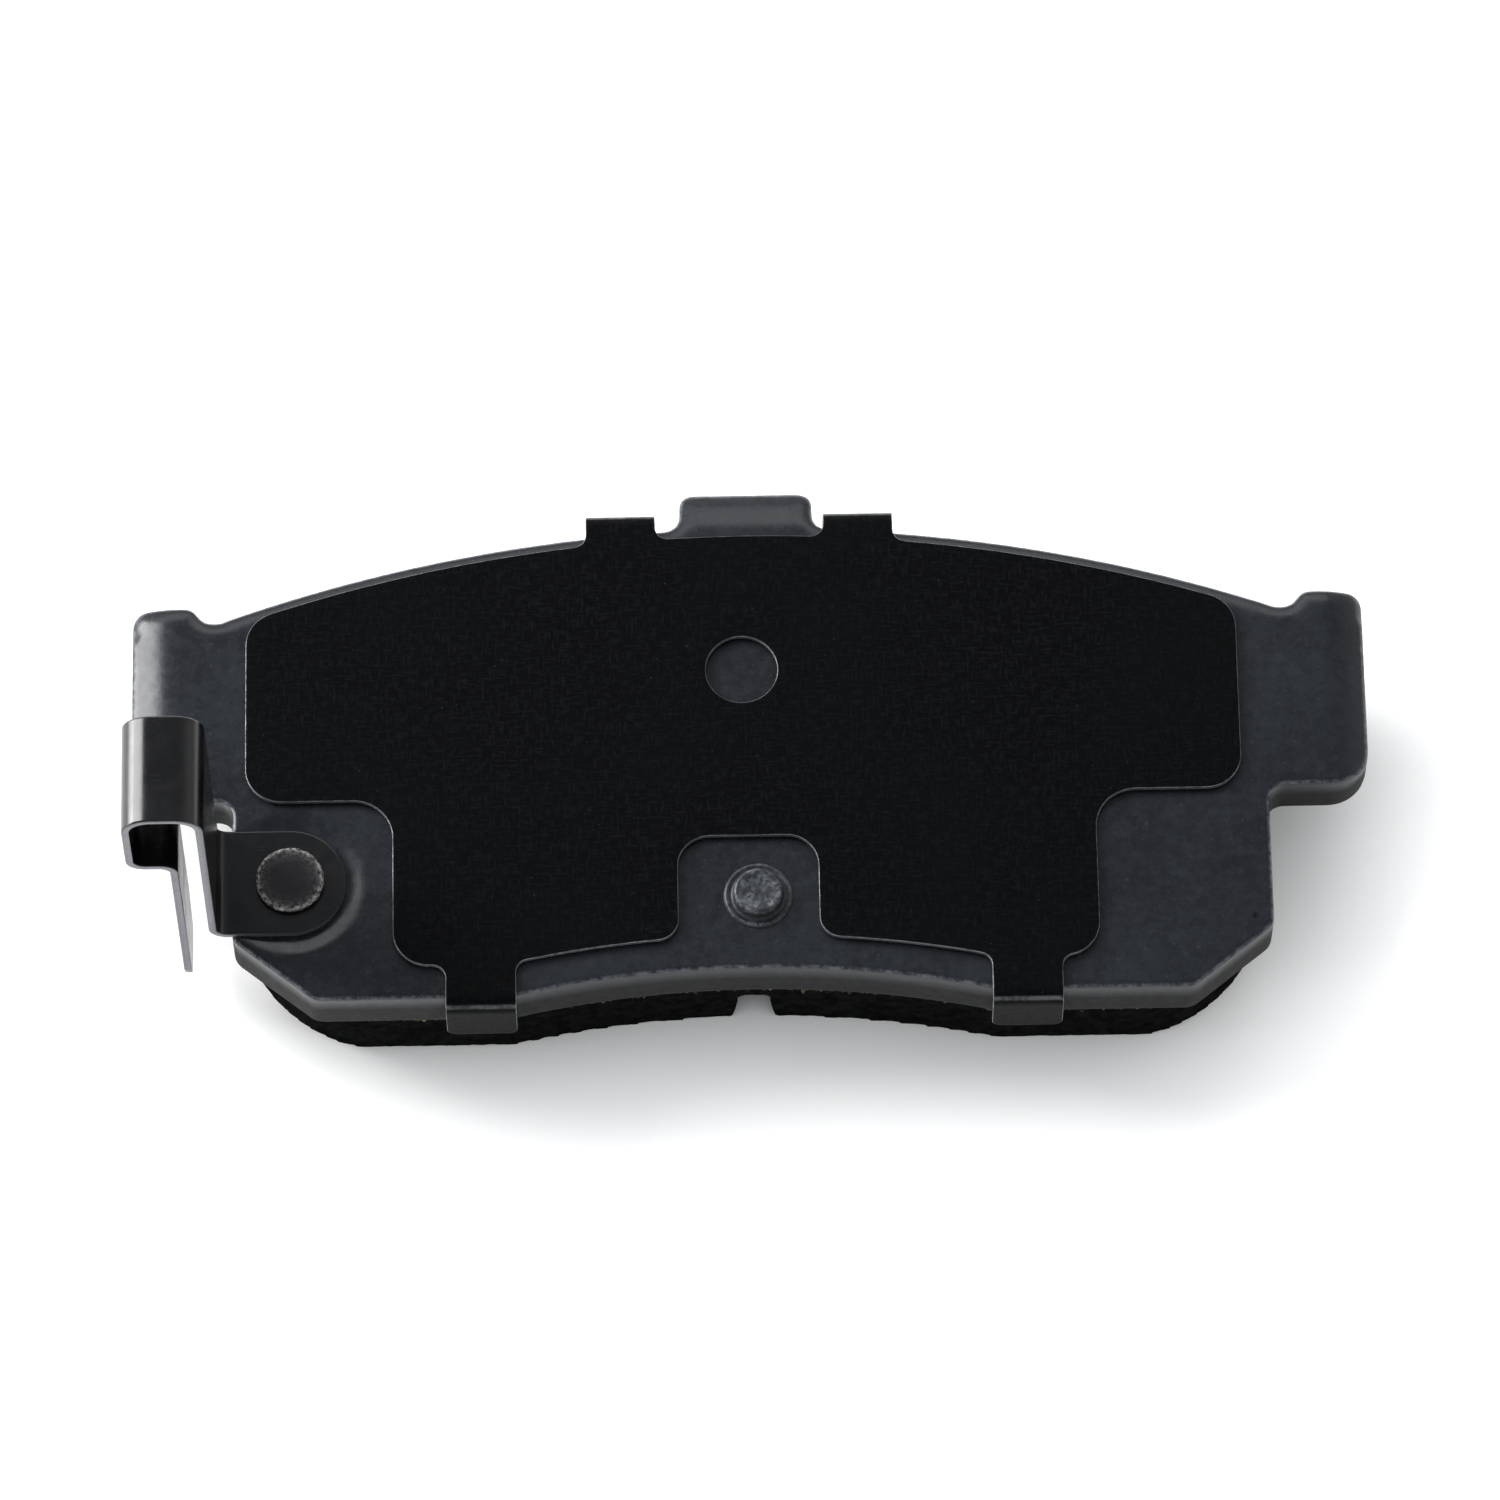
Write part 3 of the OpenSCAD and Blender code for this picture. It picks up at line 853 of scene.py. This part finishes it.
def make_lining():
    """The friction block: grainy faces, chipped lower edges and a flared slot mouth."""
    fine = fine_block()
    points = vertex_vectors(fine, "co")
    facing = vertex_vectors(fine, "normal")
    edge = np.clip(4.4 * facing[:, 2] ** 2 * (1 - facing[:, 2] ** 2) - 0.3, 0, 1)
    grain = GRAIN * lumps(points, 0.75, 3, 1.0)
    chips = np.clip(lumps(points, 1.3, 3, 9.0) + 0.15, 0, 1)
    smooth_wall = smoothstep((points[:, 2] - 0.9) / 0.8) * (np.abs(facing[:, 2]) < 0.5)
    loss = edge * (EDGE_LOSS + CHIP_DEPTH * chips) * (points[:, 2] < CHIPPED_BELOW)
    points = points + facing * (grain * (1 - 0.7 * smooth_wall) - loss)[:, None]
    points[:, 2] = np.maximum(points[:, 2], lining_low[2])
    mouth = np.clip((MOUTH_H - points[:, 2]) / MOUTH_H, 0, 1) ** 1.5
    near = np.clip((MOUTH_REACH - np.abs(points[:, 0])) / MOUTH_FADE, 0, 1)
    points[:, 0] += np.sign(points[:, 0]) * MOUTH_OUT * mouth * near
    # The tone marks the walls, which the material paints near-black as shade.
    wall = smoothstep((0.75 - np.abs(facing[:, 2])) / 0.35)
    lining = Solid()
    lining.add(points, edge * 0.8, wall)
    lining.faces = [list(f.vertices) for f in fine.polygons]
    bpy.data.meshes.remove(fine)
    return lining.piece("friction_lining", 60)


# ---- materials ----


class Look:
    """A material being built: adds nodes and joins them."""

    def __init__(self, name):
        self.made = bpy.data.materials.new(name)
        self.made.use_nodes = True
        self.tree = self.made.node_tree
        self.tree.nodes.clear()
        self.shader = self.node("ShaderNodeBsdfPrincipled")
        output = self.node("ShaderNodeOutputMaterial")
        self.tree.links.new(self.shader.outputs[0], output.inputs[0])
        self.place = self.node("ShaderNodeTexCoord").outputs["Object"]

    def node(self, kind, inputs=None, **settings):
        """A new node with its settings made and its inputs fed."""
        made = self.tree.nodes.new(kind)
        for key, value in settings.items():
            setattr(made, key, value)
        for key, value in (inputs or {}).items():
            self.feed(made.inputs[key], value)
        return made

    def feed(self, socket, value):
        """Links a socket into an input, or sets the input to a constant."""
        if isinstance(value, bpy.types.NodeSocket):
            self.tree.links.new(value, socket)
        else:
            socket.default_value = value

    def stretched(self, x, y, z):
        """Object coordinates with each axis scaled."""
        return self.node("ShaderNodeMapping", {"Vector": self.place, "Scale": (x, y, z)}).outputs[0]

    def noise(self, size, detail=3.0, rough=0.55, at=None, warp=0.0):
        """Smooth noise with features of about the given size in millimetres."""
        inputs = {"Vector": at or self.place, "Scale": MM / size, "Detail": detail,
                  "Roughness": rough, "Distortion": warp}
        return self.node("ShaderNodeTexNoise", inputs).outputs[0]

    def specks(self, size, at=None):
        """Distance from the nearest of many scattered spots."""
        inputs = {"Vector": at or self.place, "Scale": MM / size}
        return self.node("ShaderNodeTexVoronoi", inputs).outputs["Distance"]

    def across(self):
        """The X coordinate, in metres."""
        return self.node("ShaderNodeSeparateXYZ", {0: self.place}).outputs[0]

    def span(self, value, low, high, to_low=0.0, to_high=1.0):
        """Maps a range onto another and clamps it."""
        inputs = {"Value": value, "From Min": low, "From Max": high, "To Min": to_low, "To Max": to_high}
        return self.node("ShaderNodeMapRange", inputs).outputs[0]

    def math(self, kind, one, other=0.5):
        return self.node("ShaderNodeMath", {0: one, 1: other}, operation=kind).outputs[0]

    def mix(self, share, one, other):
        """One colour at share 0 and the other at 1. Each is a socket or three numbers."""
        made = self.node("ShaderNodeMix", data_type="RGBA")
        self.feed(made.inputs[0], share)
        self.feed(made.inputs[6], one if isinstance(one, bpy.types.NodeSocket) else (*one, 1))
        self.feed(made.inputs[7], other if isinstance(other, bpy.types.NodeSocket) else (*other, 1))
        return made.outputs[2]

    def attribute(self, name):
        return self.node("ShaderNodeAttribute", attribute_name=name).outputs["Fac"]

    def bump(self, height, distance, strength, under=None):
        """A bumped normal, over another one where that is given. distance is in millimetres."""
        inputs = {"Height": height, "Distance": distance / MM, "Strength": strength}
        if under is not None:
            inputs["Normal"] = under
        return self.node("ShaderNodeBump", inputs).outputs[0]

    def finish(self, **sockets):
        """Feeds the shader's inputs and returns the material."""
        for key, value in sockets.items():
            self.feed(self.shader.inputs[key.replace("_", " ")], value)
        return self.made


def grey(value, blue=0.0):
    """A grey with a share of blue in it."""
    return (value * (1 - blue), value, value * (1 + blue))


def plate_coat():
    """Dark blue-grey powder coat with orange peel, dust in its pores, worn edges and a painted shade that
    turns the sheared wall near-black towards its lower edge.
    """
    look = Look("plate_coat")
    cloud = look.noise(14.0, 3.0)
    mottle = look.noise(1.1, 4.0, 0.65)
    colour = look.mix(look.span(cloud, 0.35, 0.65), (0.0085, 0.0101, 0.0132), (0.0125, 0.0152, 0.0198))
    colour = look.mix(look.span(mottle, 0.4, 0.75, 0.0, 0.45), colour, (0.022, 0.0263, 0.0335))
    dust = look.span(look.noise(0.35, 2.0, 0.7), 0.66, 0.75, 0.0, 0.5)
    colour = look.mix(dust, colour, (0.09, 0.095, 0.105))
    broken = look.math("MULTIPLY", look.attribute(WEAR_AND_HIGHLIGHT), look.span(look.noise(0.8, 4.0, 0.7), 0.4, 0.62))
    colour = look.mix(broken, colour, (0.13, 0.14, 0.16))
    # Painted shade: near-black towards the sheared wall's lower edge.
    colour = look.mix(look.math("MULTIPLY", look.attribute(TONE), 0.97), colour, (0.0012, 0.0014, 0.0018))
    rough = look.math("ADD", look.span(mottle, 0.3, 0.7, 0.22, 0.33), look.span(cloud, 0.3, 0.7, -0.03, 0.04))
    rough = look.math("ADD", rough, look.math("MULTIPLY", look.attribute(TONE), 0.5))
    peel = look.bump(look.noise(0.85, 2.0, 0.5), 0.035, 0.45)
    pores = look.bump(look.noise(0.22, 2.0, 0.6), 0.01, 0.35, peel)
    return look.finish(Base_Color=colour, Roughness=rough, Normal=pores, Specular_IOR_Level=0.38)


def shim_steel():
    """Black-coated shim steel with a fine woven print, worn, lighter edges and a painted highlight along each
    fold.
    """
    look = Look("shim_steel")
    warp = look.noise(0.28, 2.0, 0.5, look.stretched(1.0, 0.22, 1.0))
    weft = look.noise(0.28, 2.0, 0.5, look.stretched(0.22, 1.0, 1.0))
    weave = look.math("MAXIMUM", warp, weft)
    cloud = look.noise(22.0, 2.0)
    colour = look.mix(look.span(weave, 0.5, 0.72), (0.0009, 0.001, 0.0016), (0.0062, 0.0066, 0.0084))
    colour = look.mix(look.span(cloud, 0.35, 0.7, 0.0, 0.5), colour, (0.0028, 0.0034, 0.003))
    lint = look.span(look.noise(0.3, 1.0, 0.5, warp=0.6), 0.77, 0.81, 0.0, 0.6)
    colour = look.mix(lint, colour, (0.05, 0.05, 0.055))
    gaps = look.span(look.noise(1.3, 4.0, 0.8), 0.42, 0.56, 0.4, 1.0)
    # The bare metal is wear on the cut edges and painted highlight along the folds.
    bare = look.math("MULTIPLY", look.span(look.attribute(WEAR_AND_HIGHLIGHT), 0.35, 0.9), gaps)
    colour = look.mix(bare, colour, (0.42, 0.43, 0.45))
    rough = look.math("SUBTRACT", look.span(weave, 0.4, 0.75, 0.5, 0.4), look.math("MULTIPLY", bare, 0.1))
    normal = look.bump(weave, 0.012, 0.6)
    return look.finish(Base_Color=colour, Roughness=rough, Metallic=bare, Normal=normal,
                       Specular_IOR_Level=0.05)


def spring_steel():
    """Gloss black spring steel; the sheared edges show lighter metal."""
    look = Look("spring_steel")
    cloud = look.noise(3.0, 4.0, 0.6)
    colour = look.mix(look.span(cloud, 0.4, 0.7), (0.0022, 0.0022, 0.0026), (0.006, 0.006, 0.007))
    scratch = look.noise(0.25, 2.0, 0.6, look.stretched(0.12, 1.0, 0.12))
    colour = look.mix(look.span(scratch, 0.66, 0.74, 0.0, 0.5), colour, (0.03, 0.03, 0.033))
    tear = look.span(look.noise(0.5, 4.0, 0.7), 0.3, 0.5, 0.45, 1.0)
    bare = look.math("MULTIPLY", look.span(look.attribute(WEAR_AND_HIGHLIGHT), 0.4, 0.85), tear)
    colour = look.mix(bare, colour, (0.17, 0.175, 0.195))
    metal = look.math("MULTIPLY", bare, 0.6)
    rough = look.math("ADD", look.span(cloud, 0.3, 0.75, 0.19, 0.28), look.math("MULTIPLY", bare, 0.25))
    normal = look.bump(look.noise(1.4, 2.0), 0.012, 0.35)
    return look.finish(Base_Color=colour, Roughness=rough, Metallic=metal, Normal=normal,
                       Specular_IOR_Level=0.5)


def rivet_steel():
    """Phosphated rivet: a matt dark head with a bright hammered rim."""
    look = Look("rivet_steel")
    mottle = look.noise(0.6, 4.0, 0.7)
    colour = look.mix(look.span(mottle, 0.35, 0.7), (0.009, 0.009, 0.011), (0.017, 0.017, 0.021))
    flakes = look.noise(0.35, 3.0, 0.8)
    bare = look.math("MULTIPLY", look.attribute(WEAR_AND_HIGHLIGHT), look.span(flakes, 0.42, 0.6))
    colour = look.mix(bare, colour, (0.5, 0.48, 0.46))
    rough = look.span(mottle, 0.3, 0.7, 0.5, 0.66)
    normal = look.bump(flakes, 0.03, 0.7)
    return look.finish(Base_Color=colour, Roughness=rough, Metallic=look.math("MULTIPLY", bare, 0.7),
                       Normal=normal, Specular_IOR_Level=0.25)


def stud_steel():
    """The plate's stud: coated, with a silvery top full of dark specks."""
    look = Look("stud_steel")
    specks = look.noise(0.4, 4.0, 0.75)
    cloud = look.noise(1.6, 2.0)
    coat = look.mix(look.span(specks, 0.4, 0.65), (0.01, 0.0115, 0.014), (0.026, 0.03, 0.036))
    metal_colour = look.mix(look.span(cloud, 0.35, 0.65), (0.03, 0.034, 0.04), (0.2, 0.22, 0.24))
    bare = look.math("MULTIPLY", look.attribute(WEAR_AND_HIGHLIGHT), look.span(specks, 0.42, 0.58))
    colour = look.mix(bare, coat, metal_colour)
    rough = look.span(specks, 0.3, 0.7, 0.3, 0.5)
    normal = look.bump(specks, 0.06, 0.8)
    return look.finish(Base_Color=colour, Roughness=rough, Metallic=look.math("MULTIPLY", bare, 0.7),
                       Normal=normal)


def friction_grain():
    """Pressed friction compound: grey grain with metal sparkles, dark specks and ground streaks; the walls
    get a near-black painted shade with dust on it.
    """
    look = Look("friction_grain")
    wall = look.attribute(TONE)
    fine = look.noise(0.45, 5.0, 0.75)
    cloud = look.noise(9.0, 3.0)
    colour = look.mix(look.span(fine, 0.3, 0.7), (0.1, 0.112, 0.12), (0.3, 0.325, 0.335))
    colour = look.mix(look.span(cloud, 0.35, 0.65, 0.0, 0.35), colour, (0.17, 0.165, 0.15))
    dark = look.span(look.specks(0.75), 0.12, 0.2, 0.8, 0.0)
    some = look.span(look.noise(1.3, 1.0), 0.5, 0.6)
    colour = look.mix(look.math("MULTIPLY", dark, some), colour, (0.035, 0.032, 0.03))
    spark = look.span(look.specks(0.6, look.stretched(1.0, 0.55, 1.0)), 0.06, 0.13, 1.0, 0.0)
    rare = look.span(look.noise(1.0, 1.0, 0.5, look.stretched(1.1, 1.3, 0.9)), 0.56, 0.62)
    spark = look.math("MULTIPLY", spark, rare)
    streak = look.noise(0.35, 3.0, 0.6, look.stretched(1.0, 0.06, 1.0))
    chamfer = look.span(look.math("ABSOLUTE", look.across()), (CHAMFER_X - 0.2) / MM, (CHAMFER_X + 0.3) / MM)
    ground = look.math("MULTIPLY", chamfer, look.span(streak, 0.35, 0.65))
    colour = look.mix(ground, colour, (0.2, 0.185, 0.15))
    colour = look.mix(spark, colour, (0.8, 0.82, 0.84))
    cast = look.span(look.noise(1.2, 4.0, 0.65), 0.4, 0.75)
    # Painted shade: the walls get a near-black colour, far darker than the compound.
    side = look.mix(cast, (0.004, 0.0042, 0.0045), (0.011, 0.0114, 0.012))
    dust = look.span(look.noise(0.5, 3.0, 0.7), 0.66, 0.78, 0.0, 0.3)
    side = look.mix(dust, side, (0.03, 0.028, 0.026))
    colour = look.mix(wall, colour, side)
    rough = look.mix(wall, (0.78, 0.78, 0.78), (0.55, 0.55, 0.55))
    pits = look.bump(fine, 0.1, 0.6)
    lines = look.bump(streak, 0.05, 0.35, pits)
    metal = look.math("MULTIPLY", spark, look.math("SUBTRACT", 1.0, wall))
    return look.finish(Base_Color=colour, Roughness=rough, Normal=lines, Metallic=metal,
                       Specular_IOR_Level=0.0)


def underlayer_grain():
    """Crumbling tan, brown and black granules."""
    look = Look("underlayer_grain")
    tone = look.attribute(TONE)
    fine = look.noise(0.3, 4.0, 0.75)
    colour = look.mix(look.span(tone, 0.1, 0.6), (0.012, 0.011, 0.01), (0.07, 0.05, 0.034))
    colour = look.mix(look.span(tone, 0.72, 0.95), colour, (0.2, 0.155, 0.1))
    colour = look.mix(look.span(fine, 0.5, 0.75, 0.0, 0.5), colour, (0.12, 0.095, 0.065))
    normal = look.bump(fine, 0.08, 0.8)
    return look.finish(Base_Color=colour, Roughness=look.span(fine, 0.3, 0.7, 0.75, 0.95), Normal=normal,
                       Specular_IOR_Level=0.2)


def bond_film():
    """Cured adhesive: a thin dark brown film."""
    look = Look("bond_film")
    mottle = look.noise(0.7, 4.0, 0.7)
    colour = look.mix(look.span(mottle, 0.35, 0.7), (0.009, 0.007, 0.005), (0.04, 0.028, 0.018))
    normal = look.bump(mottle, 0.04, 0.6)
    return look.finish(Base_Color=colour, Roughness=look.span(mottle, 0.3, 0.7, 0.35, 0.6), Normal=normal)


def shim_rubber():
    """The damping rubber under the shim's steel."""
    look = Look("shim_rubber")
    mottle = look.noise(0.5, 3.0, 0.65)
    colour = look.mix(look.span(mottle, 0.35, 0.7), (0.004, 0.004, 0.0045), (0.013, 0.013, 0.014))
    normal = look.bump(mottle, 0.02, 0.5)
    return look.finish(Base_Color=colour, Roughness=look.span(mottle, 0.3, 0.7, 0.6, 0.8), Normal=normal)


def floor_paper():
    """White glowing paper, with a painted contact shadow where its glow fades close to the pad."""
    look = Look("floor_paper")
    open_sky = look.node("ShaderNodeAmbientOcclusion", {"Distance": SHADE_REACH}).outputs["AO"]
    glow = look.math("MULTIPLY", look.math("POWER", open_sky, SHADE_POWER), FLOOR_GLOW)
    return look.finish(Base_Color=(0.9, 0.9, 0.9, 1), Roughness=0.9, Specular_IOR_Level=0.1,
                       Emission_Color=(1, 1, 1, 1), Emission_Strength=glow)


# ---- stage, in metres ----

# The camera looks down from 66.8 degrees above the floor.
PITCH = math.radians(-23.2)
ROLL_ANGLE = math.radians(1.01)
CAMERA_DISTANCE = 0.954
LENS = 228.7
TARGET = Vector((0, -0.0005, 0.016))
LIGHT_AIM = Vector((0, 0, 0.01))
# The sky's brightness from the horizon to overhead.
HORIZON = 0.5
RING = 0.8
MIDDLE = 0.4
ZENITH = 0.26
FLOOR_GLOW = 0.7
# How near a thing must be to shade the paper's glow, and how strongly it does.
SHADE_REACH = 0.02
SHADE_POWER = 1.9


def add_camera():
    turn = Matrix.Rotation(PITCH, 3, "X") @ Matrix.Rotation(ROLL_ANGLE, 3, "Z")
    data = bpy.data.cameras.new("camera")
    data.lens = LENS
    data.sensor_width = 36
    data.clip_start = 0.05
    data.clip_end = 20
    camera = bpy.data.objects.new("camera", data)
    bpy.context.scene.collection.objects.link(camera)
    back = turn.transposed() @ Vector((0, 0, CAMERA_DISTANCE))
    camera.matrix_world = Matrix.Translation(TARGET + back) @ turn.transposed().to_4x4()
    bpy.context.scene.camera = camera


def add_light(name, place, width, height, power):
    """A soft box that faces the pad."""
    data = bpy.data.lights.new(name, "AREA")
    data.shape = "RECTANGLE"
    data.size = width
    data.size_y = height
    data.energy = power
    light = bpy.data.objects.new(name, data)
    bpy.context.scene.collection.objects.link(light)
    light.location = place
    light.rotation_euler = (LIGHT_AIM - Vector(place)).to_track_quat("-Z", "Y").to_euler()


def add_floor():
    mesh = bpy.data.meshes.new("floor")
    shape = bmesh.new()
    bmesh.ops.create_grid(shape, x_segments=8, y_segments=8, size=4.0)
    shape.to_mesh(mesh)
    shape.free()
    floor = bpy.data.objects.new("floor", mesh)
    bpy.context.scene.collection.objects.link(floor)
    mesh.materials.append(floor_paper())


def add_sky():
    """A studio that is dim overhead, so that flat black faces stay dark, with a white backdrop."""
    world = bpy.data.worlds.new("studio")
    bpy.context.scene.world = world
    world.use_nodes = True
    tree = world.node_tree
    tree.nodes.clear()
    place = tree.nodes.new("ShaderNodeTexCoord")
    split = tree.nodes.new("ShaderNodeSeparateXYZ")
    ramp = tree.nodes.new("ShaderNodeValToRGB")
    room = tree.nodes.new("ShaderNodeBackground")
    backdrop = tree.nodes.new("ShaderNodeBackground")
    path = tree.nodes.new("ShaderNodeLightPath")
    choose = tree.nodes.new("ShaderNodeMixShader")
    output = tree.nodes.new("ShaderNodeOutputWorld")
    tree.links.new(place.outputs["Generated"], split.inputs[0])
    tree.links.new(split.outputs[2], ramp.inputs[0])
    tree.links.new(ramp.outputs[0], room.inputs[0])
    tree.links.new(path.outputs["Is Camera Ray"], choose.inputs[0])
    tree.links.new(room.outputs[0], choose.inputs[1])
    tree.links.new(backdrop.outputs[0], choose.inputs[2])
    tree.links.new(choose.outputs[0], output.inputs[0])
    stops = ramp.color_ramp.elements
    stops[0].position = 0.0
    stops[0].color = (*grey(HORIZON), 1)
    stops[1].position = 0.95
    stops[1].color = (*grey(ZENITH, 0.05), 1)
    ring = stops.new(0.35)
    ring.color = (*grey(RING), 1)
    middle = stops.new(0.7)
    middle.color = (*grey(MIDDLE, 0.04), 1)
    backdrop.inputs[0].default_value = (1, 1, 1, 1)


def add_stage():
    add_camera()
    add_floor()
    add_sky()
    add_light("key", (-0.8, 0.38, 0.52), 0.36, 0.72, 11.0)
    add_light("back", (-0.15, 0.8, 0.82), 1.2, 0.36, 3.0)
    add_light("side", (-0.8, 0.12, 0.12), 0.5, 0.24, 4.5)
    scene = bpy.context.scene
    scene.view_settings.view_transform = "Standard"
    scene.view_settings.look = "None"
    scene.view_settings.exposure = 0.0


# ---- the pieces and what they ride on ----


def dress(piece, look, body=None, nodes=()):
    """Gives a piece its material, slot and body, and hides the nodes that it stands for."""
    piece.data.materials.clear()
    piece.data.materials.append(look)
    if nodes:
        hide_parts(*nodes)
    if body:
        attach(piece, body)


def carry(node, look):
    """Gives a carried-over CAD node a better material."""
    mesh = frame["nodes"][node].data
    mesh.materials.clear()
    mesh.materials.append(look)


def build():
    """Makes and dresses every piece."""
    dress(make_plate(), plate_coat(), PAD, ["backing_plate"])
    dress(make_stud(), stud_steel(), PAD)
    dress(make_shim(), shim_steel(), PAD, ["shim_plate"])
    dress(make_rivet(), rivet_steel(), PAD, ["wear_indicator_rivet"])
    dress(make_underlayer(), underlayer_grain(), PAD, ["underlayer"])
    dress(make_lining(), friction_grain(), PAD, ["friction_block"])
    carry("bonding_layer", bond_film())
    carry("shim_rubber_layer", shim_rubber())
    strip = make_indicator()
    dress(strip, spring_steel(), nodes=["wear_indicator_base", "wear_indicator_spring"])
    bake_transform(strip)


add_stage()
build()
